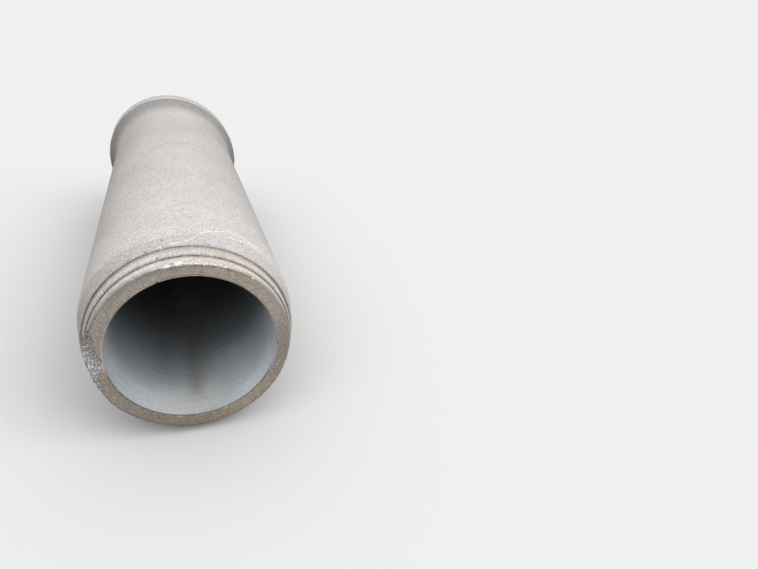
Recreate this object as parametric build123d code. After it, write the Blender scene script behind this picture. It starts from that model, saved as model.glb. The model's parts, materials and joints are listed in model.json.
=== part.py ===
from build123d import *
from math import atan2, degrees, radians, tan
import os

# Concrete culvert pipe, cast in one piece, with a bell at one end and a stepped spigot at the other.
# Millimetres, +Z up. The pipe lies on a level floor along Y, with its spigot towards -Y and its bell
# towards +Y. The origin is under the middle of its bounding box, on the floor.
# In the section, "along" is measured on the pipe's axis from the spigot's nose, and "out" from the axis.

# Barrel
BORE_DIAMETER = 533.4
WALL = 88.9
LAYING_LENGTH = 2438.4

# Spigot: a nose band that seats the rubber gasket, an offset that stops it, and a wider back band
SPIGOT_LENGTH = 88.9
GASKET_SEAT_LENGTH = 42.7
GASKET_OFFSET = 9.0
NOSE_ROUNDING = 10.0

# The joint between one pipe's spigot and the next pipe's bell
JOINT_TAPER = 3.5
MOUTH_DIAMETER = 672.0
JOINT_GAP = 6.4
END_GAP = 6.4

# Bell: a straight band round the socket, and a concave flare that runs down to the barrel
BELL_DIAMETER = 812.8
BELL_BAND_LENGTH = 114.3
FLARE_LENGTH = 190.5

# The tapered collar that the end ring moulds between the barrel and the spigot's shoulder
COLLAR_LENGTH = 101.6
SHOULDER_DROP = 17.0

# Roundings and bevels of the cast edges and corners
SHOULDER_ROUNDING = 6.0
OFFSET_ROUNDING = 5.0
SOCKET_ROOT_ROUNDING = 12.0
RIM_BEVEL = 4.0
MOUTH_BEVEL = 5.0
BORE_BEVEL = 5.0

# The revolved faces meet on a seam. It is turned half a facet off the pipe's top, so that a faceted
# copy of the pipe lies on a facet, and not on the corner between two.
SEAM_ANGLE = 2.0

bore = BORE_DIAMETER / 2
barrel = bore + WALL
bell = BELL_DIAMETER / 2
mouth = MOUTH_DIAMETER / 2
shoulder = barrel - SHOULDER_DROP

# Stations along the axis, from the nose to the bell's face
shoulder_at = SPIGOT_LENGTH
collar_at = shoulder_at + COLLAR_LENGTH
bell_face_at = LAYING_LENGTH + SPIGOT_LENGTH
ridge_at = bell_face_at - BELL_BAND_LENGTH
flare_at = ridge_at - FLARE_LENGTH
socket_depth = SPIGOT_LENGTH + END_GAP
socket_end_at = bell_face_at - socket_depth

# The bell's mouth comes level with the next pipe's shoulder, so the spigot's back band is the
# socket's cone, moved in by the joint gap, and the gasket's seat is the same cone, moved in again.
taper = tan(radians(JOINT_TAPER))
back_band_root = mouth - JOINT_GAP
back_band_front = back_band_root - (SPIGOT_LENGTH - GASKET_SEAT_LENGTH) * taper
seat_back = back_band_front - GASKET_OFFSET
nose = seat_back - GASKET_SEAT_LENGTH * taper
socket_end = mouth - socket_depth * taper


def half_section():
    """The wall on one side of the axis: its along is Y and its out is Z."""
    corners = [
        (ridge_at, bell, 0),
        (bell_face_at - RIM_BEVEL, bell, 0),
        (bell_face_at, bell - RIM_BEVEL, 0),
        (bell_face_at, mouth + MOUTH_BEVEL, 0),
        (bell_face_at - MOUTH_BEVEL, mouth - MOUTH_BEVEL * taper, 0),
        (socket_end_at, socket_end, SOCKET_ROOT_ROUNDING),
        (socket_end_at, bore + BORE_BEVEL, 0),
        (socket_end_at - BORE_BEVEL, bore, 0),
        (BORE_BEVEL, bore, 0),
        (0, bore + BORE_BEVEL, 0),
        (0, nose, NOSE_ROUNDING),
        (GASKET_SEAT_LENGTH, seat_back, 0),
        (GASKET_SEAT_LENGTH, back_band_front, OFFSET_ROUNDING),
        (shoulder_at, back_band_root, 0),
        (shoulder_at, shoulder, SHOULDER_ROUNDING),
        (collar_at, barrel, 0),
        (flare_at, barrel, 0),
    ]
    roundings = [rounding for along, out, rounding in corners]
    with BuildSketch(Plane.YZ) as section:
        with BuildLine():
            FilletPolyline([(along, out) for along, out, rounding in corners], radius=roundings[1:-1])
            TangentArc((flare_at, barrel), (ridge_at, bell), tangent=(1, 0))
        make_face()
    return section.sketch


def as_it_lies(pipe):
    """The bell is wider than the barrel, so the pipe rests on the bell's ridge and the collar's edge."""
    lift = degrees(atan2(bell - barrel, ridge_at - collar_at))
    tilted = Rot(X=lift) * pipe
    box = tilted.bounding_box()
    return Pos(0, -box.center().Y, -box.min.Z) * tilted


concrete_pipe = as_it_lies(Rot(Y=SEAM_ANGLE) * revolve(half_section(), axis=Axis.Y))

os.makedirs("parts", exist_ok=True)
export_step(concrete_pipe, "parts/concrete_pipe.step")
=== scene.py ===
import json
import math

import bpy
import numpy as np
from mathutils import Matrix, Vector


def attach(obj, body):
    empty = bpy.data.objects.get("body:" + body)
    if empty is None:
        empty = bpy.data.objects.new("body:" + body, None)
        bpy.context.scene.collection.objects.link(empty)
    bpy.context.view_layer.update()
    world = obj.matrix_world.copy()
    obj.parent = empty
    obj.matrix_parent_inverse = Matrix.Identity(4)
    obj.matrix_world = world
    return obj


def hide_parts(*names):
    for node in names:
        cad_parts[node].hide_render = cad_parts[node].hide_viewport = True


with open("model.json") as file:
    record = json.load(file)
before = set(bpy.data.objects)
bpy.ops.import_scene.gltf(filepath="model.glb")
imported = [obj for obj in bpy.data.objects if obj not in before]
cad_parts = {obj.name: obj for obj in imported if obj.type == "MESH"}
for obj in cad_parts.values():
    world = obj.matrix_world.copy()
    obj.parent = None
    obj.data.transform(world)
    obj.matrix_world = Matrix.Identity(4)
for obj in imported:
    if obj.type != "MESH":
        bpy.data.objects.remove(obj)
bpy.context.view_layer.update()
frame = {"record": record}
scene = bpy.context.scene

# Where the pipe lies: its axis starts at the nose's centre and rises a little towards the bell.
# "along" is measured on the axis from the nose, "out" from the axis, and the angle from the top
# towards +X, all in metres and degrees.
spigot = next(m for m in frame["record"]["mounts"] if m["name"] == "spigot")
NOSE_CENTRE = Vector(spigot["pos_m"])
AXIS = -Vector(spigot["axis"]).normalized()
LIFT = math.atan2(AXIS.z, AXIS.y)

# The section's sizes, as in the solid: its taper, its radii and its stations on the axis
TAPER = math.radians(3.5)
BORE = 0.2667
BARREL = 0.3556
BELL = 0.4064
NOSE = 0.315163
SEAT_BACK = 0.317774
BACK_FRONT = 0.326774
BACK_ROOT = 0.3296
SHOULDER = 0.3386
MOUTH = 0.336
SEAT_END_AT = 0.0427
SHOULDER_AT = 0.0889
COLLAR_AT = 0.1905
FLARE_AT = 2.2225
RIDGE_AT = 2.4130
SOCKET_END_AT = 2.4320
BELL_FACE_AT = 2.5273

# Its bevels and roundings
BEVEL = 0.005
RIM_BEVEL = 0.004
NOSE_ROUND = 0.010
OFFSET_ROUND = 0.005
SHOULDER_ROUND = 0.006
ROOT_ROUND = 0.012

# The four kinds of surface, in the order of their materials
OUTSIDE, END_FACE, INSIDE, SOCKET = range(4)


def srgb(red, green, blue):
    """A colour as a screen shows it, turned into the linear values that the shaders use."""
    linear = []
    for value in (red, green, blue):
        share = value / 255
        linear.append(share / 12.92 if share <= 0.04045 else ((share + 0.055) / 1.055) ** 2.4)
    return (*linear, 1)


# Camera, at the photograph's viewing angle
camera_data = bpy.data.cameras.new("camera")
camera_data.lens = 25.1513
camera_data.sensor_width = 36.0
camera = bpy.data.objects.new("camera", camera_data)
camera.location = (-0.01183, -2.81256, 1.34038)
camera.rotation_euler = [math.radians(a) for a in (64.1214, -4.4906, -20.2659)]
scene.collection.objects.link(camera)
scene.camera = camera


# Noise that is the same on every run

def hashed(x, y, z, seed):
    """A number from 0 to 1 for each lattice point."""
    n = (x * 374761393 + y * 668265263 + z * 1442695041 + seed * 1274126177) & 0xFFFFFFFF
    n = ((n ^ (n >> 13)) * 1274126177) & 0xFFFFFFFF
    n = ((n ^ (n >> 15)) * 2246822519) & 0xFFFFFFFF
    return ((n ^ (n >> 16)) & 0xFFFFFF) / 0xFFFFFF


def noise(points, size, seed):
    """Smooth noise from -1 to 1 whose lumps are about size across."""
    scaled = points / size
    cell = np.floor(scaled).astype(np.int64)
    inside = scaled - cell
    ease = inside * inside * (3 - 2 * inside)
    total = 0
    for corner in np.ndindex(2, 2, 2):
        weight = np.prod([ease[:, i] if corner[i] else 1 - ease[:, i] for i in range(3)], axis=0)
        total = total + weight * hashed(*(cell + corner).T, seed)
    return total * 2 - 1


def layered(points, size, seed, octaves=3, fading=0.55):
    """Noise with finer noise added to it, each layer weaker than the one before."""
    total, weight, whole = 0, 1, 0
    for octave in range(octaves):
        total = total + weight * noise(points, size / 2 ** octave, seed + 17 * octave)
        whole += weight
        weight *= fading
    return total / whole


def stones(points, size, seed):
    """Distance to the nearest scattered stone, as a share of size, and a number of that stone's own."""
    scaled = points / size
    cell = np.floor(scaled).astype(np.int64)
    nearest = np.full(len(points), 9.0)
    own = np.zeros(len(points))
    for step in np.ndindex(3, 3, 3):
        there = cell + np.array(step) - 1
        middle = there + np.stack([hashed(*there.T, seed + i) for i in range(3)], axis=1)
        distance = np.linalg.norm(scaled - middle, axis=1)
        closer = distance < nearest
        nearest = np.where(closer, distance, nearest)
        own = np.where(closer, hashed(*there.T, seed + 5), own)
    return nearest, own


def smooth(value, low, high):
    """0 below low, 1 above high, and an even ramp between."""
    share = np.clip((value - low) / (high - low), 0, 1)
    return share * share * (3 - 2 * share)


# The outline of the half section, as rings: along, out, segments round the ring, and the surface's kind

FINE, MIDDLE, COARSE = 768, 384, 192
rings = []


def straight(start, end, spacing, segments, kind):
    """Rings from start up to, and without, end."""
    start, end = np.array(start), np.array(end)
    count = max(1, round(np.linalg.norm(end - start) / spacing))
    for i in range(count):
        rings.append((*(start + (end - start) * i / count), segments, kind))


def on_arc(centre, radius, angle):
    """A point of an arc. The angle is measured from straight out towards the nose."""
    return centre[0] - radius * math.sin(angle), centre[1] + radius * math.cos(angle)


def rounding(centre, radius, start, end, count, segments, kind):
    """Rings on an arc from one of its angles up to, and without, another."""
    for i in range(count):
        rings.append((*on_arc(centre, radius, start + (end - start) * i / count), segments, kind))


def corner_rounding(at, out, slope, radius):
    """Centre of the rounding between a wall across the axis and a surface that rises behind it."""
    return at + radius, out + radius * math.tan(slope) - radius / math.cos(slope)


QUARTER = math.pi / 2
collar_slope = math.atan2(BARREL - SHOULDER, COLLAR_AT - SHOULDER_AT)
shoulder_centre = corner_rounding(SHOULDER_AT, SHOULDER, collar_slope, SHOULDER_ROUND)
offset_centre = corner_rounding(SEAT_END_AT, BACK_FRONT, TAPER, OFFSET_ROUND)
nose_centre = corner_rounding(0, NOSE, TAPER, NOSE_ROUND)
socket_root = MOUTH - (BELL_FACE_AT - SOCKET_END_AT) * math.tan(TAPER)
root_centre = corner_rounding(SOCKET_END_AT, socket_root, TAPER, ROOT_ROUND)
mouth_lip = (BELL_FACE_AT - BEVEL, MOUTH - BEVEL * math.tan(TAPER))

# The flare is an arc that is level where it leaves the barrel.
flare_radius = ((RIDGE_AT - FLARE_AT) ** 2 + (BELL - BARREL) ** 2) / (2 * (BELL - BARREL))
flare_turn = math.asin((RIDGE_AT - FLARE_AT) / flare_radius)
FLARE_ROWS = 16
FLARE_MIDDLE_ROWS = 4
for i in range(FLARE_ROWS):
    turn = flare_turn * (1 - i / FLARE_ROWS)
    rings.append((
        FLARE_AT + flare_radius * math.sin(turn),
        BARREL + flare_radius * (1 - math.cos(turn)),
        MIDDLE if i < FLARE_MIDDLE_ROWS else COARSE,
        OUTSIDE,
    ))

# From the barrel to the nose
straight((FLARE_AT, BARREL), (COLLAR_AT, BARREL), 0.036, COARSE, OUTSIDE)
straight((COLLAR_AT, BARREL), on_arc(shoulder_centre, SHOULDER_ROUND, collar_slope), 0.0052, MIDDLE, OUTSIDE)
rounding(shoulder_centre, SHOULDER_ROUND, collar_slope, QUARTER, 4, FINE, OUTSIDE)
straight(on_arc(shoulder_centre, SHOULDER_ROUND, QUARTER), (SHOULDER_AT, BACK_ROOT), 0.002, FINE, OUTSIDE)
straight((SHOULDER_AT, BACK_ROOT), on_arc(offset_centre, OFFSET_ROUND, TAPER), 0.0035, FINE, OUTSIDE)
rounding(offset_centre, OFFSET_ROUND, TAPER, QUARTER, 3, FINE, OUTSIDE)
straight(on_arc(offset_centre, OFFSET_ROUND, QUARTER), (SEAT_END_AT, SEAT_BACK), 0.002, FINE, OUTSIDE)
straight((SEAT_END_AT, SEAT_BACK), on_arc(nose_centre, NOSE_ROUND, TAPER), 0.0028, FINE, OUTSIDE)
rounding(nose_centre, NOSE_ROUND, TAPER, QUARTER, 6, FINE, OUTSIDE)
straight(on_arc(nose_centre, NOSE_ROUND, QUARTER), (0, BORE + BEVEL), 0.0025, FINE, END_FACE)
straight((0, BORE + BEVEL), (BEVEL, BORE), 0.0024, FINE, END_FACE)

# The bore, whose rings are closer together where light falls in
BORE_MOUTH_END = 0.16
straight((BEVEL, BORE), (BORE_MOUTH_END, BORE), 0.010, MIDDLE, INSIDE)
straight((BORE_MOUTH_END, BORE), (SOCKET_END_AT - BEVEL, BORE), 0.060, COARSE, INSIDE)

# The socket and the bell, back to the ridge
straight((SOCKET_END_AT - BEVEL, BORE), (SOCKET_END_AT, BORE + BEVEL), 0.0035, MIDDLE, END_FACE)
straight((SOCKET_END_AT, BORE + BEVEL), on_arc(root_centre, ROOT_ROUND, QUARTER), 0.0066, MIDDLE, END_FACE)
rounding(root_centre, ROOT_ROUND, QUARTER, TAPER, 4, MIDDLE, SOCKET)
straight(on_arc(root_centre, ROOT_ROUND, TAPER), mouth_lip, 0.0075, MIDDLE, SOCKET)
straight(mouth_lip, (BELL_FACE_AT, MOUTH + BEVEL), 0.0036, MIDDLE, END_FACE)
straight((BELL_FACE_AT, MOUTH + BEVEL), (BELL_FACE_AT, BELL - RIM_BEVEL), 0.0075, MIDDLE, END_FACE)
straight((BELL_FACE_AT, BELL - RIM_BEVEL), (BELL_FACE_AT - RIM_BEVEL, BELL), 0.0029, MIDDLE, END_FACE)
straight((BELL_FACE_AT - RIM_BEVEL, BELL), (RIDGE_AT, BELL), 0.0100, MIDDLE, OUTSIDE)

# Segments are closer together where the nose's edge is broken, and wider apart elsewhere.
EXTRA_SEGMENTS = 0.9
middles = (np.arange(FINE) + 0.5) / FINE * 360
weights = 1 + EXTRA_SEGMENTS * smooth(middles, 234, 242) * (1 - smooth(middles, 296, 304))
spacing = 1 / weights
FINE_ANGLES = (np.concatenate([[0], np.cumsum(spacing)]) / np.sum(spacing) * 360)[:-1]


def apart(angle, other):
    """The angle between two directions round the pipe."""
    return np.abs((angle - other + 180) % 360 - 180)


# Convex edges that wear: along, out, how far the wear reaches, how deep it goes
WORN_EDGES = [
    (0.003, 0.3125, 0.006, 0.0011),
    (0.044, 0.3255, 0.004, 0.0009),
    (0.0907, 0.3372, 0.004, 0.0010),
    (0.0025, 0.2692, 0.004, 0.0014),
    (2.4130, 0.4064, 0.006, 0.0012),
    (2.5253, 0.4044, 0.006, 0.0022),
    (2.5250, 0.3384, 0.006, 0.0020),
    (2.4295, 0.2692, 0.006, 0.0020),
]

# The share of a worn edge's depth below which it is left out
FAINTEST_WEAR = 0.02

# Single chips and holes: angle, along, out, radius, depth
CHIPS = [
    (348.5, 0.0905, 0.3375, 0.0050, 0.0030),
    (352.0, 0.0050, 0.3140, 0.0060, 0.0030),
    (331.0, 0.0040, 0.3130, 0.0060, 0.0026),
    (38.0, 0.0030, 0.3125, 0.0060, 0.0024),
    (57.0, 0.0440, 0.3255, 0.0040, 0.0020),
    (78.0, 0.0905, 0.3372, 0.0050, 0.0024),
    (312.0, 0.0440, 0.3255, 0.0050, 0.0022),
    (92.0, 0.0010, 0.2710, 0.0050, 0.0020),
    (140.0, 0.0010, 0.2710, 0.0060, 0.0020),
    (24.0, 2.5240, 0.3370, 0.0120, 0.0050),
    (71.0, 2.5250, 0.4040, 0.0160, 0.0080),
    (118.0, 2.5250, 0.3380, 0.0140, 0.0060),
    (203.0, 2.5250, 0.4040, 0.0200, 0.0100),
    (246.0, 2.5250, 0.3380, 0.0100, 0.0050),
    (291.0, 2.5250, 0.4040, 0.0120, 0.0060),
    (338.0, 2.5250, 0.4045, 0.0090, 0.0040),
    (150.0, 2.4130, 0.4064, 0.0120, 0.0030),
]

# Dark pits in the cast surface, with the same five values
PITS = [
    (345.0, 0.0445, 0.3262, 0.0062, 0.0050),
    (340.0, 0.0905, 0.3380, 0.0048, 0.0032),
    (349.0, 0.1310, 0.3457, 0.0046, 0.0040),
    (359.0, 0.0150, 0.3161, 0.0040, 0.0040),
    (330.5, 0.0905, 0.3380, 0.0040, 0.0026),
    (12.0, 0.0905, 0.3380, 0.0036, 0.0024),
    (66.0, 0.0600, 0.3278, 0.0036, 0.0030),
    (305.0, 0.0700, 0.3285, 0.0036, 0.0030),
    (31.0, 0.1500, 0.3488, 0.0036, 0.0030),
    (160.0, 0.0300, 0.3170, 0.0040, 0.0030),
    (96.0, 2.4800, 0.4064, 0.0060, 0.0040),
    (12.0, 2.4600, 0.4064, 0.0050, 0.0036),
    (268.0, 2.4960, 0.4064, 0.0060, 0.0040),
    (233.7, 0.0020, 0.2700, 0.0056, 0.0034),
    (226.8, 0.0020, 0.2700, 0.0062, 0.0036),
    (224.6, 0.0020, 0.2700, 0.0048, 0.0030),
    (219.2, 0.0010, 0.2715, 0.0050, 0.0026),
    (341.0, 0.0020, 0.2695, 0.0056, 0.0030),
    (351.0, 0.0020, 0.2695, 0.0050, 0.0026),
    (89.5, 0.0020, 0.2700, 0.0036, 0.0020),
    (91.6, 0.0020, 0.2700, 0.0032, 0.0018),
]

# The broken edge of the nose: angles, the radius it reaches in to on the end face and how far back it
# reaches along the bands at those angles, both in millimetres
BREAK_ANGLES = [239, 242, 246, 250, 254, 258, 261, 264, 266, 269, 272, 275, 278, 281, 284, 287, 290, 294]
BREAK_INNER = [315, 308, 303, 299, 295, 291, 285, 278, 269, 268, 272, 281, 284, 287, 291, 297, 305, 318]
BREAK_REACH = [0, 2, 3, 4, 5, 8, 12, 20, 30, 42, 48, 50, 46, 38, 29, 19, 10, 0]
UNBROKEN = 330
BREAK_FACE_SLOPE = 0.42
BREAK_LEAST = 0.0005
BREAK_STONES = 0.0070

# Where the spall can reach: back to this station, and between these radii
BREAK_BACK = 0.085
BREAK_LOWEST, BREAK_HIGHEST = 0.262, 0.331

# Slurry on the end face: the middle of its arc, its inner border, and how far it stands proud
SLURRY_ANGLE = 352
SLURRY_INNER = 0.3048
SLURRY_HEIGHT = 0.0018

# How deep the whole surface waves, either way
WAVINESS = 0.00035


def hollows(marks, along, out, angle, ragged, flat):
    """For each chip or pit near a ring, its depth and its share at the ring's points. Its border is as
    ragged as that factor, and flat is the share of its radius that has the full depth."""
    for centre, at, radius, size, most in marks:
        if abs(along - at) < 3 * size and abs(out - radius) < 3 * size:
            across = np.radians(apart(angle, centre)) * radius
            distance = np.sqrt(across ** 2 + (along - at) ** 2 + (out - radius) ** 2) / size
            yield most, 1 - smooth(distance * ragged, flat, 1.0)


def relief(along, out, normal, angle):
    """How far a ring's points move along the axis and outwards, and how broken and pitted they are."""
    turn = np.radians(angle)
    points = np.stack([out * np.sin(turn), np.full(len(turn), along), out * np.cos(turn)], axis=1)
    depth = WAVINESS * (1 + layered(points, 0.16, 3, 2))
    broken = np.zeros(len(turn))
    pit = np.zeros(len(turn))
    coarse = layered(points, 0.030, 11)
    fine = layered(points, 0.009, 23, 2)
    uneven = coarse + 0.4 * fine
    for at, radius, reach, most in WORN_EDGES:
        near = math.exp(-((along - at) ** 2 + (out - radius) ** 2) / reach ** 2)
        if near > FAINTEST_WEAR:
            depth = depth + near * most * (0.30 * (1 + coarse) + 1.6 * smooth(uneven, 0.42, 0.80))
            broken = np.maximum(broken, near * smooth(uneven, 0.46, 0.70))
    for most, hollow in hollows(CHIPS, along, out, angle, 1 + 0.25 * fine + 0.2 * coarse, 0.55):
        depth = depth + most * hollow
        broken = np.maximum(broken, hollow)
    for most, hollow in hollows(PITS, along, out, angle, 1 + 0.25 * fine, 0.45):
        depth = depth + most * hollow
        pit = np.maximum(pit, hollow)
    # Slurry stands a little proud round the top of the face's outer edge, with a ragged border.
    if along < 0.003 and out > 0.270:
        top = 1 - smooth(apart(angle, SLURRY_ANGLE), 30, 44)
        ragged = SLURRY_INNER + 0.0012 * noise(points, 0.005, 31) + 0.0014 * coarse
        depth = depth + SLURRY_HEIGHT * top * smooth(ragged - out, -0.0010, 0.0010)
    step_along, step_out = -normal[0] * depth, -normal[1] * depth
    # The spall at the side: one rough slope from the face to the bands, and only the face at its low end
    if along < BREAK_BACK and BREAK_LOWEST < out < BREAK_HIGHEST:
        inner = np.interp(angle, BREAK_ANGLES, BREAK_INNER, left=UNBROKEN, right=UNBROKEN) / 1000
        inner = inner + 0.0022 * coarse + 0.0012 * fine
        reach = np.interp(angle, BREAK_ANGLES, BREAK_REACH, left=0, right=0) / 1000
        reach = np.maximum(reach * (1 + 0.15 * coarse + 0.10 * fine), BREAK_LEAST)
        rise = np.maximum(NOSE + reach * math.tan(TAPER) - inner, BREAK_LEAST)
        length = np.hypot(rise, reach)
        over = np.maximum(0, (out - inner) * reach - along * rise) / length
        whole = smooth(angle, 254, 266)
        on_face = (1 - whole) * np.maximum(0, out - inner) * abs(normal[0]) * (along < 0.05)
        lost = smooth(np.maximum(on_face, whole * over), 0.0, 0.0025)
        distance, own = stones(points, BREAK_STONES, 41)
        lumps = 0.0034 * (0.35 + 0.65 * own) * smooth(distance, 0.20, 0.80) + 0.0010 * (1 + fine) + 0.0006
        deep = 0.35 + 0.65 * smooth(angle, 252, 264)
        step_along = step_along + deep * BREAK_FACE_SLOPE * on_face + whole * over * rise / length
        step_along = step_along + lost * lumps * (whole * rise / length + (1 - whole) * max(0, -normal[0]))
        step_out = step_out - whole * over * reach / length
        step_out = step_out - lost * lumps * (whole * reach / length + (1 - whole) * max(0, normal[1]))
        broken = np.maximum(broken, lost)
    return step_along, step_out, broken, pit


# The mesh: one closed turned skin with its relief
outline = np.array([(ring[0], ring[1]) for ring in rings])
tangents = np.roll(outline, -1, axis=0) - np.roll(outline, 1, axis=0)
tangents /= np.linalg.norm(tangents, axis=1)[:, None]
normals = np.stack([tangents[:, 1], -tangents[:, 0]], axis=1)

vertices, broken_values, pit_values, starts = [], [], [], []
for (along, out, segments, _), normal in zip(rings, normals):
    angle = FINE_ANGLES[::FINE // segments]
    step_along, step_out, broken, pit = relief(along, out, normal, angle)
    turn = np.radians(angle)
    radius = out + step_out
    starts.append(sum(len(v) for v in vertices))
    vertices.append(np.stack([radius * np.sin(turn), along + step_along, radius * np.cos(turn)], axis=1))
    broken_values.append(broken)
    pit_values.append(pit)

# Between rings with as many segments lie quads. Where one ring has twice the other's segments, three
# triangles fill the room between two of its segments and one of the other's.
faces, face_kinds = [], []
for i, (_, _, segments, kind) in enumerate(rings):
    j = (i + 1) % len(rings)
    after = rings[j][2]
    if segments == after:
        for k in range(segments):
            beside = (k + 1) % segments
            faces.append((starts[i] + k, starts[i] + beside, starts[j] + beside, starts[j] + k))
    else:
        fine, fine_count, coarse = starts[i], segments, starts[j]
        if segments < after:
            fine, fine_count, coarse = starts[j], after, starts[i]
        for k in range(fine_count // 2):
            f0, f1, f2 = [fine + (2 * k + step) % fine_count for step in range(3)]
            c0, c1 = [coarse + (k + step) % (fine_count // 2) for step in range(2)]
            fan = [(f0, f1, c0), (f1, c1, c0), (f1, f2, c1)]
            faces += fan if segments > after else [face[::-1] for face in fan]
    face_kinds += [kind] * (len(faces) - len(face_kinds))

SHARP_ANGLE = math.radians(38)
mesh = bpy.data.meshes.new("concrete_pipe_cast")
mesh.from_pydata(np.concatenate(vertices).tolist(), [], faces)
mesh.validate()
mesh.polygons.foreach_set("use_smooth", [True] * len(mesh.polygons))
mesh.polygons.foreach_set("material_index", face_kinds)
mesh.set_sharp_from_angle(angle=SHARP_ANGLE)
for name, values in (("broken", broken_values), ("pit", pit_values)):
    mesh.attributes.new(name, "FLOAT", "POINT").data.foreach_set("value", np.concatenate(values))
mesh.transform(Matrix.Translation(NOSE_CENTRE) @ Matrix.Rotation(LIFT, 4, "X"))
pipe = bpy.data.objects.new("concrete_pipe_cast", mesh)
scene.collection.objects.link(pipe)


# Materials

class Graph:
    """Adds nodes to a material's tree and links them. A share is a value from 0 to 1."""

    def __init__(self, name):
        self.material = bpy.data.materials.new(name)
        self.material.use_nodes = True
        self.tree = self.material.node_tree
        self.surface = self.tree.nodes["Principled BSDF"]
        pipe_axes = self.tree.nodes.new("ShaderNodeMapping")
        pipe_axes.vector_type = "TEXTURE"
        pipe_axes.inputs["Location"].default_value = NOSE_CENTRE
        pipe_axes.inputs["Rotation"].default_value = (LIFT, 0, 0)
        object_axes = self.tree.nodes.new("ShaderNodeTexCoord")
        self.put(pipe_axes.inputs["Vector"], object_axes.outputs["Object"])
        self.place = pipe_axes.outputs[0]

    def put(self, socket, value):
        """Links a value that comes from a node, and sets one that is constant."""
        if isinstance(value, bpy.types.NodeSocket):
            self.tree.links.new(value, socket)
        else:
            socket.default_value = value

    def polar(self):
        """Along the axis, the angle in degrees from the top towards +X, from -180 to 180, and out."""
        split = self.tree.nodes.new("ShaderNodeSeparateXYZ")
        self.put(split.inputs[0], self.place)
        x, z = split.outputs["X"], split.outputs["Z"]
        turn = self.times(self.math("ARCTAN2", x, z), 180 / math.pi)
        out = self.math("SQRT", self.plus(self.times(x, x), self.times(z, z)))
        return split.outputs["Y"], turn, out

    def stretched(self, scale):
        """The pipe's coordinates scaled along its axes."""
        node = self.tree.nodes.new("ShaderNodeMapping")
        self.put(node.inputs["Vector"], self.place)
        node.inputs["Scale"].default_value = scale
        return node.outputs[0]

    def math(self, operation, *values):
        node = self.tree.nodes.new("ShaderNodeMath")
        node.operation = operation
        for socket, value in zip(node.inputs, values):
            self.put(socket, value)
        return node.outputs[0]

    def plus(self, first, second):
        return self.math("ADD", first, second)

    def times(self, *values):
        product = values[0]
        for value in values[1:]:
            product = self.math("MULTIPLY", product, value)
        return product

    def highest(self, *values):
        most = values[0]
        for value in values[1:]:
            most = self.math("MAXIMUM", most, value)
        return most

    def off(self, value, middle):
        """How far a value is from the middle, to either side."""
        return self.math("ABSOLUTE", self.math("SUBTRACT", value, middle))

    def remap(self, value, low, high, to_low=0.0, to_high=1.0):
        """An even ramp: to_low at low, to_high at high, and level beyond both."""
        node = self.tree.nodes.new("ShaderNodeMapRange")
        node.interpolation_type = "SMOOTHSTEP"
        self.put(node.inputs["Value"], value)
        self.put(node.inputs["From Min"], low)
        self.put(node.inputs["From Max"], high)
        self.put(node.inputs["To Min"], to_low)
        self.put(node.inputs["To Max"], to_high)
        return node.outputs["Result"]

    def window(self, value, rise, risen, fall, fallen):
        """A share that rises between the first two values and falls between the last two."""
        return self.times(self.remap(value, rise, risen), self.remap(value, fallen, fall))

    def around(self, value, middle, outer, inner):
        """A share that is 1 within inner of the middle, and 0 beyond outer."""
        return self.remap(self.off(value, middle), outer, inner)

    def noise(self, scale, detail=2.0, roughness=0.5, place=None, distortion=0.0):
        node = self.tree.nodes.new("ShaderNodeTexNoise")
        self.put(node.inputs["Vector"], self.place if place is None else place)
        self.put(node.inputs["Scale"], scale)
        self.put(node.inputs["Detail"], detail)
        self.put(node.inputs["Roughness"], roughness)
        self.put(node.inputs["Distortion"], distortion)
        return node.outputs["Fac"]

    def jitter(self, amount, scale, detail=2.0, roughness=0.5):
        """Noise round zero, as wide as amount."""
        return self.times(self.math("SUBTRACT", self.noise(scale, detail, roughness), 0.5), amount)

    def cells(self, scale, output="Distance"):
        node = self.tree.nodes.new("ShaderNodeTexVoronoi")
        self.put(node.inputs["Vector"], self.place)
        self.put(node.inputs["Scale"], scale)
        return node.outputs[output]

    def curve(self, value, points):
        node = self.tree.nodes.new("ShaderNodeFloatCurve")
        line = node.mapping.curves[0]
        line.points[0].location = points[0]
        line.points[-1].location = points[-1]
        for point in points[1:-1]:
            line.points.new(*point)
        node.mapping.update()
        self.put(node.inputs["Value"], value)
        return node.outputs[0]

    def attribute(self, name):
        node = self.tree.nodes.new("ShaderNodeAttribute")
        node.attribute_name = name
        return node.outputs["Fac"]

    def mix(self, share, first, second, blend="MIX"):
        node = self.tree.nodes.new("ShaderNodeMix")
        node.data_type = "RGBA"
        node.blend_type = blend
        self.put(node.inputs["Factor"], share)
        self.put(node.inputs[6], first)
        self.put(node.inputs[7], second)
        return node.outputs[2]

    def tint(self, colour, towards, *shares):
        """The colour moved towards another one, by the product of the shares."""
        return self.mix(self.times(*shares), colour, srgb(*towards))

    def scaled(self, colour, share, low, high):
        """The colour times a grey that goes from low to high with the share."""
        grey = self.tree.nodes.new("ShaderNodeCombineColor")
        level = self.plus(self.times(share, high - low), low)
        for socket in grey.inputs:
            self.put(socket, level)
        return self.mix(1.0, colour, grey.outputs[0], "MULTIPLY")

    def toned(self, colour, level, *shares):
        """The colour made darker or paler, to level times itself, by the product of the shares."""
        return self.scaled(colour, self.times(*shares), 1.0, level)

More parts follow.
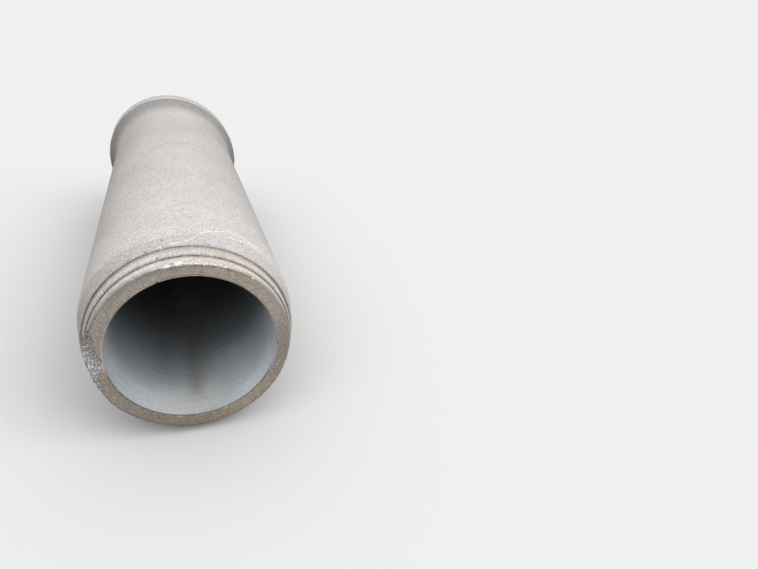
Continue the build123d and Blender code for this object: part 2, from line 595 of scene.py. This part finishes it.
    def finish(self, colour, height, depth, strength, grain, smoothest, roughest):
        """The finished material: the depth in metres and the strength of its fine relief, and its
        roughness, which noise of the scale grain varies."""
        bump = self.tree.nodes.new("ShaderNodeBump")
        self.put(bump.inputs["Height"], height)
        self.put(bump.inputs["Distance"], depth)
        self.put(bump.inputs["Strength"], strength)
        rough = self.plus(self.times(self.noise(grain), roughest - smoothest), smoothest)
        self.put(self.surface.inputs["Base Color"], colour)
        self.put(self.surface.inputs["Roughness"], rough)
        self.put(self.surface.inputs["Normal"], bump.outputs[0])
        self.surface.inputs["Specular IOR Level"].default_value = 0.25
        return self.material


def sand(graph, colour, strength=1.0, scale=330):
    """Sand grains and fine pores, the dry-cast surface close up: its colour and its height."""
    grain = graph.cells(scale, "Color")
    clump = graph.noise(190, 2.0, 0.6)
    blotch = graph.noise(30, 3.0, 0.55)
    colour = graph.scaled(colour, graph.remap(grain, 0.15, 0.85), 1 - 0.22 * strength, 1 + 0.20 * strength)
    colour = graph.scaled(colour, graph.remap(clump, 0.25, 0.75), 1 - 0.10 * strength, 1 + 0.08 * strength)
    colour = graph.scaled(colour, graph.remap(blotch, 0.3, 0.7), 1 - 0.025 * strength, 1 + 0.02 * strength)
    pore = graph.remap(graph.cells(150), 0.16, 0.05)
    pore = graph.times(pore, graph.remap(graph.cells(150, "Color"), 0.80, 0.86))
    colour = graph.tint(colour, (96, 92, 88), pore, 0.45)
    height = graph.plus(graph.times(grain, 0.6), graph.times(clump, 0.8))
    return colour, graph.math("SUBTRACT", height, graph.times(pore, 0.8))


def fractured(graph, colour):
    """The colour with pale stones in grey mortar where the mesh is chipped, and the share of that."""
    mortar = graph.remap(graph.noise(240, 3.0, 0.7), 0.3, 0.7)
    mortar = graph.scaled(srgb(181, 179, 179), mortar, 0.55, 1.12)
    stone = graph.remap(graph.cells(210, "Color"), 0.2, 0.8)
    stone = graph.mix(stone, srgb(242, 240, 238), srgb(112, 109, 110))
    inside = graph.mix(graph.times(graph.remap(graph.cells(210), 0.58, 0.46), 0.9), mortar, stone)
    inside = graph.tint(inside, (248, 246, 243), graph.remap(graph.noise(310, 1.0), 0.61, 0.67), 0.85)
    broken = graph.remap(graph.attribute("broken"), 0.25, 0.75)
    colour = graph.mix(broken, colour, inside)
    return graph.tint(colour, (96, 89, 83), graph.remap(graph.attribute("pit"), 0.1, 0.7), 0.75), broken


def lumpy(graph, height, broken):
    """The height with the coarser relief of broken concrete."""
    return graph.plus(height, graph.times(broken, graph.noise(240, 3.0), 2.0))


def arc_mask(graph, along, angle, at, width, low, high, soft):
    """A line round the pipe at a station, between two angles. It fades out at width to both sides."""
    line = graph.around(along, at, width, width * 0.3)
    return graph.times(line, graph.window(angle, low - soft, low + soft, high - soft, high + soft))


# Lines on the collar, as angles in degrees and stations in metres. Their curves hold both as shares of
# the span, which reaches as far to the left as to the right, and of the reach.
LINE_SPAN = 60
LINE_REACH = 0.25
RING_LINE = [
    (-60, 0.163), (-44, 0.166), (-36, 0.158), (-28, 0.154), (-20, 0.147), (-12, 0.142), (-4, 0.140),
    (6, 0.150), (20, 0.188), (30, 0.200), (40, 0.180), (60, 0.165),
]
CLIMBING_LINE = [
    (-60, 0.10), (-10, 0.097), (0, 0.104), (6, 0.134), (10, 0.162), (15, 0.175), (20, 0.187),
    (23, 0.203), (30, 0.202), (35, 0.194), (40, 0.178), (60, 0.14),
]
SECOND_LINE = [(-60, 0.14), (20, 0.160), (26, 0.164), (30, 0.166), (35, 0.178), (41, 0.194), (60, 0.21)]
UPPER_LINE = [
    (-60, 0.162), (-44, 0.166), (-36, 0.158), (-28, 0.154), (-20, 0.147), (-12, 0.145), (60, 0.14),
]


def line_station(graph, angle, line):
    """The station of a line at each angle."""
    share = graph.math("DIVIDE", graph.plus(angle, LINE_SPAN), 2 * LINE_SPAN)
    curve = graph.curve(share, [((a + LINE_SPAN) / (2 * LINE_SPAN), s / LINE_REACH) for a, s in line])
    return graph.times(curve, LINE_REACH)


def curved_line(graph, along, angle, line, width, low, high, soft=2.0):
    """A line whose station follows the angle, between two angles."""
    return arc_mask(graph, along, angle, line_station(graph, angle, line), width, low, high, soft)


SLURRY_WHITE = (240, 236, 232)

# Smears on the barrel: station, half the width, and the two angles between which each lies
SMEARS = [
    (1.530, 0.016, 3, 24),
    (1.360, 0.020, -4, 22),
    (1.450, 0.012, 2, 26),
]

# Patches of white slurry on the nose's upper edge: angle, along, and half their size in each
WHITE_SPOTS = [
    (-4.4, 0.008, 2.3, 0.009),
    (-10.4, 0.003, 1.2, 0.005),
    (6.5, 0.014, 1.1, 0.004),
    (-1.2, 0.018, 1.3, 0.004),
    (-12.0, 0.0925, 0.9, 0.004),
]

# Painted shade in the nose's two corners: station, half its width, where it ends on the step and where it is
# whole, where it starts on the band before the corner, and its share there
CORNER_SHADE = [
    (SHOULDER_AT - 0.0003, 0.0030, SHOULDER - 0.0044, SHOULDER - 0.0080, 0.0680, 0.64),
    (SEAT_END_AT - 0.0003, 0.0026, BACK_FRONT - 0.0042, BACK_FRONT - 0.0078, 0.0300, 0.88),
]


def with_collar(graph, colour, along, angle):
    """The collar is smoother and a little pinker on the left, up to the mould's ring line."""
    station = graph.plus(line_station(graph, angle, RING_LINE), graph.jitter(0.004, 30, 3.0))
    before = graph.remap(graph.math("SUBTRACT", along, station), 0.0014, -0.0014)
    on_collar = graph.times(before, graph.remap(along, 0.088, 0.092))
    return graph.tint(colour, (199, 190, 190), on_collar, graph.remap(angle, 30, -12, 0.0, 0.80))


def slurry_lines(graph, along, angle):
    """Lines of slurry that the end ring left on the collar."""
    climbing = curved_line(graph, along, angle, CLIMBING_LINE, 0.0050, -9, 43)
    second = curved_line(graph, along, angle, SECOND_LINE, 0.0042, 22, 46)
    upper = curved_line(graph, along, angle, UPPER_LINE, 0.0040, -50, -12, 4)
    return graph.highest(climbing, second, graph.times(upper, 0.35))


def with_barrel_marks(graph, colour, along, angle):
    """Scratches and smears on the barrel, and faint rings from the pipe machine's roller."""
    slanted = graph.plus(along, graph.times(angle, 0.0009))
    scratch = arc_mask(graph, slanted, angle, 0.634, 0.0060, -16, 9, 3)
    gaps = graph.remap(graph.noise(45, 3.0, 0.6), 0.30, 0.55)
    colour = graph.tint(colour, SLURRY_WHITE, scratch, gaps, 0.55)
    short_scratch = graph.window(along, 0.75, 0.79, 0.89, 0.93)
    short_scratch = graph.times(short_scratch, graph.around(angle, -36.7, 0.9, 0.3))
    colour = graph.tint(colour, (236, 232, 228), short_scratch, 0.40)
    wavy = graph.plus(along, graph.jitter(0.03, 6))
    smears = graph.highest(*[arc_mask(graph, wavy, angle, *smear, 4) for smear in SMEARS])
    colour = graph.tint(colour, (150, 146, 144), smears, 0.22)
    far_smear = arc_mask(graph, wavy, angle, 2.150, 0.035, -32, 24, 8)
    colour = graph.tint(colour, (226, 222, 219), far_smear, 0.45)
    rings_seen = graph.noise(1.0, 4.0, 0.7, place=graph.stretched((1.5, 26, 1.5)))
    return graph.scaled(colour, graph.remap(rings_seen, 0.3, 0.7), 0.988, 1.008)


def with_barrel_tones(graph, colour, along, angle):
    """Painted shade on the flare, a painted highlight on the ridge, and the barrel palest next to the
    collar.
    """
    # Painted shade on the flare, deepest towards the ridge.
    flare = graph.window(along, 2.235, 2.36, 2.407, 2.412)
    colour = graph.toned(colour, 0.68, flare)
    colour = graph.toned(colour, 0.90, flare, graph.remap(along, 2.30, 2.40))
    colour = graph.toned(colour, 0.93, graph.remap(along, 1.2, 2.1))
    colour = graph.toned(colour, 0.955, graph.remap(along, 0.60, 1.15))
    near = graph.window(along, 0.13, 0.19, 0.20, 0.55)
    colour = graph.toned(colour, 1.06, near)
    # Painted light on the barrel's sides next to the collar.
    colour = graph.toned(colour, 1.10, near, graph.remap(graph.off(angle, 6), 12, 45))
    # Painted light on the right side next to the collar.
    lit_right_side = graph.times(graph.remap(angle, 34, 54), graph.window(along, 0.092, 0.100, 0.18, 0.34))
    colour = graph.toned(colour, 1.09, lit_right_side)
    # A painted highlight along the ridge.
    return graph.tint(colour, (236, 234, 231), graph.around(along, 2.4135, 0.0055, 0.0025), 0.7)


def with_bands(graph, colour, along, angle, out):
    """The spigot's two bands: cream on the right of the top, with painted shade in the two corners."""
    bands = graph.remap(along, 0.0885, 0.086)
    colour = graph.tint(colour, (178, 162, 148), bands, 0.16)
    patchy = graph.remap(graph.noise(22, 3.0), 0.30, 0.60, 0.35, 1.0)
    colour = graph.tint(colour, (207, 197, 184), bands, graph.window(angle, -2, 16, 34, 52), patchy, 0.7)
    # Painted light makes both bands pale in their middles, more so at the sides, and painted shade darkens
    # the back one towards the shoulder on both sides of the top.
    off_top = graph.off(angle, 8)
    sides = graph.remap(off_top, 24, 56)
    back_band = graph.times(graph.remap(along, 0.046, 0.050), bands, graph.remap(off_top, 36, 16))
    colour = graph.toned(colour, 0.93, back_band)
    lit_crest = graph.window(along, 0.010, 0.018, 0.030, 0.037)
    lit_crest = graph.highest(lit_crest, graph.window(along, 0.044, 0.048, 0.060, 0.073))
    colour = graph.toned(colour, 1.08, lit_crest)
    colour = graph.toned(colour, 1.13, lit_crest, graph.remap(off_top, 10, 34), graph.remap(angle, -62, -44))
    shade = graph.window(along, 0.060, 0.084, 0.089, 0.092)
    shade = graph.times(shade, graph.remap(angle, -20, 20, 0.30, 0.45))
    colour = graph.tint(colour, (124, 114, 107), shade, sides)
    grit = graph.remap(graph.noise(250, 2.0, 0.7), 0.30, 0.70)
    colour = graph.mix(bands, colour, graph.scaled(colour, grit, 0.90, 1.09))
    # The painted shade in the shoulder's corner goes all round, and the spall has none of the other
    # corner's.
    thin = graph.remap(graph.noise(40, 3.0, 0.6), 0.30, 0.62, 1.0, 0.70)
    weight = graph.times(graph.plus(graph.times(sides, 0.12), 0.72), thin)
    beside_spall = graph.highest(graph.remap(angle, -80, -70), graph.remap(angle, -108, -120))
    weights = (weight, graph.times(weight, beside_spall))
    for (at, width, top, low, front, most), share in zip(CORNER_SHADE, weights):
        corner_shade = graph.times(graph.around(along, at, width, width * 0.3), graph.remap(out, top, low))
        before = graph.times(graph.window(along, front, at - 0.0006, at, at + 0.0003), most)
        colour = graph.tint(colour, (92, 83, 76), graph.highest(corner_shade, before), share)
    return colour


def with_nose_edge(graph, colour, along, angle):
    """The nose's rounded edge: white slurry and painted light cover its top, and its sides have the face's
    colour.
    """
    off_edge = graph.off(angle, 5)
    rounded = graph.remap(along, 0.0070, 0.0020)
    on_top = graph.math("SUBTRACT", 1.0, graph.remap(off_edge, 16, 38))
    wet = graph.remap(graph.noise(85, 3.0, 0.6), 0.28, 0.52)
    # Slurry with painted light: it grows whiter down the rounding towards the face, against the rounding's
    # shading.
    slurry = graph.times(rounded, on_top, wet, graph.remap(angle, 14, 30, 1.0, 0.45))
    colour = graph.tint(colour, (243, 238, 231), slurry, 0.75)
    # The face's colour reaches over the edge with a ragged border, and a soft one at the sides.
    tall = graph.times(graph.remap(angle, -24, -4, 0.002, 0.0085), graph.remap(angle, 16, 32, 1.0, 0.40))
    jagged = graph.plus(along, graph.jitter(tall, 120, 3.0, 0.65))
    jagged = graph.math("SUBTRACT", jagged, graph.remap(off_edge, 10, 30, 0.0, 0.0026))
    edge_colour = graph.mix(graph.remap(angle, -6, -28), srgb(158, 148, 138), srgb(152, 147, 142))
    nearer = graph.times(along, graph.remap(angle, -18, -40, 1.0, 0.55))
    soft = graph.times(graph.remap(nearer, 0.0120, 0.0040), graph.remap(off_edge, 14, 36, 0.0, 0.45))
    colour = graph.mix(soft, colour, edge_colour)
    colour = graph.mix(graph.remap(jagged, 0.0018, 0.0002), colour, edge_colour)
    bare = graph.highest(graph.remap(angle, 32, 56), graph.remap(angle, -62, -84))
    colour = graph.tint(colour, (168, 158, 147), graph.remap(along, 0.0110, 0.0085), bare, 0.9)
    rubbed = arc_mask(graph, along, angle, 0.0115, 0.0034, 24, 66, 6)
    colour = graph.tint(colour, (242, 239, 234), rubbed, wet, 0.45)
    spots = 0
    for turn, at, half_turn, half_length in WHITE_SPOTS:
        across = graph.math("DIVIDE", graph.math("SUBTRACT", angle, turn), half_turn)
        down = graph.math("DIVIDE", graph.math("SUBTRACT", along, at), half_length)
        far = graph.plus(graph.times(across, across), graph.times(down, down))
        spots = graph.highest(spots, graph.remap(graph.plus(far, graph.jitter(1.6, 150)), 1.0, 0.6))
    return graph.tint(colour, (248, 245, 240), spots, 0.75)


def outside_concrete():
    graph = Graph("concrete_outside")
    along, angle, out = graph.polar()
    patch = graph.remap(graph.noise(3.2, 3.0, 0.55), 0.35, 0.65)
    colour = graph.mix(patch, srgb(202, 199, 197), srgb(210, 206, 203))
    lilac = graph.remap(graph.noise(5.5, 2.0, 0.5, distortion=0.4), 0.48, 0.66)
    colour = graph.tint(colour, (207, 200, 199), lilac, 0.20)
    colour = with_collar(graph, colour, along, angle)
    lines = slurry_lines(graph, along, angle)
    gaps = graph.remap(graph.noise(60, 3.0, 0.6), 0.30, 0.55)
    colour = graph.tint(colour, SLURRY_WHITE, lines, gaps, 0.80)
    colour = with_barrel_marks(graph, colour, along, angle)
    colour = with_barrel_tones(graph, colour, along, angle)
    colour = with_bands(graph, colour, along, angle, out)
    colour = with_nose_edge(graph, colour, along, angle)
    colour, height = sand(graph, colour)
    colour, broken = fractured(graph, colour)
    height = lumpy(graph, graph.plus(height, graph.times(lines, 0.5)), broken)
    return graph.finish(colour, height, depth=0.0011, strength=0.75, grain=90, smoothest=0.84, roughest=0.96)


# Broad darker and paler places round the end face: angle, how far to its sides each one ends and how
# far it is whole, in degrees, and its level
FACE_TONES = [
    (98, 36, 12, 0.78),
    (48, 28, 10, 1.11),
    (-30, 18, 6, 1.08),
]


def nose_end(graph, along):
    """A share that is 1 on the nose's end and 0 on the bell's."""
    return graph.remap(along, 1.0, 0.5)


def with_face_tones(graph, colour, along, angle, out):
    """The nose's face: pale along the rim, brown low down, and faintly rusty on the left."""
    pale_rim = graph.times(graph.remap(out, 0.296, 0.305), graph.window(angle, -78, -56, -24, -8))
    colour = graph.tint(colour, (192, 188, 183), pale_rim, 0.55)
    for middle, outer, inner, level in FACE_TONES:
        colour = graph.toned(colour, level, graph.around(angle, middle, outer, inner))
    off_top = graph.math("ABSOLUTE", angle)
    bevel = graph.times(graph.remap(out, 0.2726, 0.2712), graph.remap(off_top, 96, 70))
    colour = graph.toned(colour, 1.45, bevel, nose_end(graph, along))
    pinkish = graph.times(graph.window(angle, -98, -84, -60, -48), graph.remap(out, 0.283, 0.296))
    colour = graph.tint(colour, (190, 177, 172), pinkish, 0.55)
    colour = graph.tint(colour, (146, 135, 116), graph.remap(off_top, 100, 165), 0.8)
    colour = graph.toned(colour, 1.24, graph.window(angle, 112, 150, 160, 186))
    colour = graph.tint(colour, (156, 151, 139), graph.window(angle, -168, -140, -112, -92), 0.6)
    rust = graph.times(graph.around(angle, -80, 15, 5), graph.remap(out, 0.290, 0.281))
    low_rust = graph.times(graph.around(angle, -102, 11, 4), graph.remap(out, 0.289, 0.281))
    patchy = graph.remap(graph.noise(70, 3.0), 0.35, 0.60)
    return graph.tint(colour, (168, 140, 110), graph.highest(rust, low_rust), patchy, 0.35)


def with_face_edges(graph, colour, along, angle, out):
    """The bore's edge: rubbed pale on the left, painted light on the right, painted shade below; slurry at
    the rim's top.
    """
    nose = nose_end(graph, along)
    ragged = graph.plus(out, graph.jitter(0.006, 130, 3.0, 0.6))
    # Painted light on the right of the bore's edge.
    right = graph.times(graph.remap(ragged, 0.2745, 0.2725), graph.around(angle, 92, 36, 14), nose)
    colour = graph.tint(colour, (192, 195, 196), right, 0.8)
    left = graph.times(graph.remap(ragged, 0.2735, 0.2710), graph.around(angle, -72, 34, 16), nose)
    colour = graph.tint(colour, (204, 199, 192), left, 0.75)
    # Painted shade on the lower part of the bore's edge and its bevel.
    lower = graph.times(graph.highest(graph.remap(angle, -94, -104), graph.remap(angle, 104, 124)), nose)
    colour = graph.toned(colour, 0.60, lower, graph.remap(out, 0.2722, 0.2712))
    colour = graph.toned(colour, 0.55, lower, graph.remap(out, 0.2692, 0.2676))
    border = graph.plus(out, graph.jitter(0.009, 150, 3.0, 0.6))
    slurry = graph.times(graph.remap(border, 0.3044, 0.3056), graph.around(angle, 5, 41, 23), nose)
    slurry = graph.times(slurry, graph.remap(angle, 14, 30, 1.0, 0.55))
    return graph.tint(colour, (238, 233, 226), slurry, 0.8)


def end_concrete():
    graph = Graph("concrete_end_face")
    along, angle, out = graph.polar()
    patch = graph.remap(graph.noise(7, 3.0, 0.6), 0.35, 0.65)
    colour = graph.mix(patch, srgb(182, 170, 157), srgb(190, 180, 168))
    smooth_patch = graph.remap(graph.remap(out, 0.284, 0.304), 0, 1, 0.30, 0.90)
    smooth_patch = graph.times(smooth_patch, graph.window(angle, -100, -50, -30, 20))
    colour = graph.tint(colour, (157, 153, 148), smooth_patch)
    colour = with_face_tones(graph, colour, along, angle, out)
    # The bell's end is paler.
    bell_end = graph.mix(patch, srgb(202, 196, 188), srgb(210, 205, 198))
    colour = graph.mix(nose_end(graph, along), bell_end, colour)
    sanded, height = sand(graph, colour, 1.4, 370)
    colour = graph.mix(graph.times(smooth_patch, 0.55), sanded, colour)
    colour = graph.scaled(colour, graph.remap(graph.noise(75, 3.0, 0.6), 0.32, 0.68), 0.93, 1.06)
    colour = with_face_edges(graph, colour, along, angle, out)
    colour, broken = fractured(graph, colour)
    height = lumpy(graph, height, broken)
    return graph.finish(colour, height, depth=0.0012, strength=0.8, grain=90, smoothest=0.86, roughest=0.96)


def inside_concrete():
    graph = Graph("concrete_bore")
    along, angle = graph.polar()[:2]
    patch = graph.remap(graph.noise(4, 3.0, 0.55), 0.35, 0.65)
    colour = graph.mix(patch, srgb(168, 175, 180), srgb(180, 185, 189))
    # Its bottom is stained, from behind the front edge to a third of the length.
    off_bottom = graph.math("SUBTRACT", 180, graph.math("ABSOLUTE", angle))
    stain = graph.remap(graph.plus(off_bottom, graph.times(graph.noise(14), 9)), 18, 4)
    colour = graph.tint(colour, (128, 119, 108), stain, graph.window(along, 0.04, 0.16, 0.20, 0.85), 0.55)
    # Painted light on the right wall near the mouth.
    paler = graph.times(graph.window(angle, 40, 85, 125, 160), graph.remap(along, 0.50, 0.02))
    colour = graph.toned(colour, 1.25, paler)
    # Painted shade darkens it with depth, sooner on the left, and painted light makes its front edge palest
    # on the right.
    left = graph.around(angle, -125, 62, 22)
    right = graph.around(angle, 120, 58, 22)
    colour = graph.toned(colour, 0.76, left, graph.remap(along, 0.07, 0.26))
    colour = graph.toned(colour, 1.09, left, graph.remap(along, 0.13, 0.04))
    colour = graph.toned(colour, 0.84, right, graph.remap(along, 0.24, 0.44))
    colour = graph.toned(colour, 1.20, right, graph.remap(along, 0.14, 0.04))
    # Painted light on the lower right wall, a little way in.
    lit_low_right = graph.times(graph.window(angle, 130, 148, 158, 172), graph.remap(along, 0.10, 0.30))
    colour = graph.toned(colour, 1.22, lit_low_right)
    # Painted shade darkens the bottom further in, and a warm tint near the mouth is dust and painted
    # reflected light.
    bottom = graph.remap(off_bottom, 42, 18)
    colour = graph.toned(colour, 0.88, bottom, graph.remap(along, 0.08, 0.22))
    colour = graph.tint(colour, (176, 166, 142), bottom, graph.remap(along, 0.20, 0.05), 0.22)
    trowelled = graph.noise(1.0, 4.0, 0.7, place=graph.stretched((1.2, 70, 1.2)))
    colour = graph.scaled(colour, graph.remap(trowelled, 0.3, 0.7), 0.94, 1.04)
    # Painted light at the mouth and painted shade deeper in, where it also turns greyer.
    colour = graph.scaled(colour, graph.remap(along, 0.02, 0.65), 1.15, 0.66)
    colour = graph.tint(colour, (128, 124, 124), graph.remap(along, 0.25, 1.0, 0.0, 0.35))
    trail = graph.times(graph.remap(off_bottom, 20, 4), graph.remap(along, 0.45, 0.85))
    colour = graph.tint(colour, (206, 192, 178), trail, 0.3)
    colour, height = sand(graph, colour, 0.45)
    colour = fractured(graph, colour)[0]
    return graph.finish(colour, height, depth=0.0006, strength=0.5, grain=60, smoothest=0.72, roughest=0.84)


def socket_concrete():
    graph = Graph("concrete_socket")
    along = graph.polar()[0]
    patch = graph.remap(graph.noise(8, 3.0, 0.55), 0.35, 0.65)
    colour = graph.mix(patch, srgb(190, 184, 176), srgb(202, 197, 190))
    colour = graph.tint(colour, (158, 146, 130), graph.remap(along, 2.50, 2.44), 0.5)
    colour, height = sand(graph, colour, 0.9)
    colour = fractured(graph, colour)[0]
    return graph.finish(colour, height, depth=0.0010, strength=0.7, grain=70, smoothest=0.80, roughest=0.92)


for material in (outside_concrete(), end_concrete(), inside_concrete(), socket_concrete()):
    mesh.materials.append(material)

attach(pipe, "root")
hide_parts("concrete_pipe")


# Floor: pale to the camera and to mirrors, and darker to the light that bounces off it
FLOOR_HALF = 200
FLOOR_SEEN = (0.74, 0.74, 0.74, 1)
FLOOR_LIT = (0.13, 0.13, 0.115, 1)


def pale_floor():
    material = bpy.data.materials.new("floor")
    material.use_nodes = True
    tree = material.node_tree
    surface = tree.nodes["Principled BSDF"]
    rays = tree.nodes.new("ShaderNodeLightPath")
    seen = tree.nodes.new("ShaderNodeMath")
    seen.operation = "MAXIMUM"
    tree.links.new(rays.outputs["Is Camera Ray"], seen.inputs[0])
    tree.links.new(rays.outputs["Is Glossy Ray"], seen.inputs[1])
    colour = tree.nodes.new("ShaderNodeMix")
    colour.data_type = "RGBA"
    tree.links.new(seen.outputs[0], colour.inputs["Factor"])
    colour.inputs[6].default_value = FLOOR_LIT
    colour.inputs[7].default_value = FLOOR_SEEN
    tree.links.new(colour.outputs[2], surface.inputs["Base Color"])
    surface.inputs["Roughness"].default_value = 1.0
    surface.inputs["Specular IOR Level"].default_value = 0.0
    return material


floor_mesh = bpy.data.meshes.new("floor")
corners = [(x * FLOOR_HALF, y * FLOOR_HALF, 0) for x, y in ((-1, -1), (1, -1), (1, 1), (-1, 1))]
floor_mesh.from_pydata(corners, [], [(0, 1, 2, 3)])
floor_mesh.materials.append(pale_floor())
floor = bpy.data.objects.new("floor", floor_mesh)
scene.collection.objects.link(floor)


# Light: an overcast sky, brightest overhead and a little brighter in front, and two broad soft lamps, at
# the front right and the front left
SKY_SEEN = 0.87
SKY_LOW, SKY_HIGH = 0.10, 0.72
SKY_DARKEST, SKY_BRIGHTEST = 0.03, 1.0
SKY_FRONT = 0.25
LAMP_SPREAD = 45


def sky():
    world = bpy.data.worlds.new("sky")
    world.use_nodes = True
    tree = world.node_tree
    ground = tree.nodes["Background"]
    place = tree.nodes.new("ShaderNodeTexCoord")
    split = tree.nodes.new("ShaderNodeSeparateXYZ")
    tree.links.new(place.outputs["Generated"], split.inputs[0])
    level = tree.nodes.new("ShaderNodeMapRange")
    level.interpolation_type = "SMOOTHSTEP"
    tree.links.new(split.outputs["Z"], level.inputs["Value"])
    level.inputs["From Min"].default_value = SKY_LOW
    level.inputs["From Max"].default_value = SKY_HIGH
    level.inputs["To Min"].default_value = SKY_DARKEST
    level.inputs["To Max"].default_value = SKY_BRIGHTEST
    front = tree.nodes.new("ShaderNodeMath")
    front.operation = "MULTIPLY_ADD"
    tree.links.new(split.outputs["Y"], front.inputs[0])
    front.inputs[1].default_value = -SKY_FRONT
    front.inputs[2].default_value = 1.0
    facing = tree.nodes.new("ShaderNodeMath")
    facing.operation = "MULTIPLY"
    tree.links.new(level.outputs[0], facing.inputs[0])
    tree.links.new(front.outputs[0], facing.inputs[1])
    rays = tree.nodes.new("ShaderNodeLightPath")
    seen = tree.nodes.new("ShaderNodeMix")
    tree.links.new(rays.outputs["Is Camera Ray"], seen.inputs["Factor"])
    tree.links.new(facing.outputs[0], seen.inputs["A"])
    seen.inputs["B"].default_value = SKY_SEEN
    tree.links.new(seen.outputs["Result"], ground.inputs["Strength"])
    ground.inputs["Color"].default_value = (1, 1, 1, 1)
    return world


scene.world = sky()


def soft_lamp(name, towards, energy, spread):
    """A distant lamp, so that the floor is evenly lit, as wide in the sky as spread in degrees."""
    data = bpy.data.lights.new(name, "SUN")
    data.energy = energy
    data.angle = math.radians(spread)
    lamp = bpy.data.objects.new(name, data)
    lamp.rotation_euler = Vector(towards).to_track_quat("-Z", "Y").to_euler()
    scene.collection.objects.link(lamp)


soft_lamp("front_right_lamp", (-0.58, 0.54, -0.66), 1.25, LAMP_SPREAD)
soft_lamp("front_left_lamp", (0.50, 0.58, -0.66), 0.50, LAMP_SPREAD)

scene.view_settings.view_transform = "Standard"
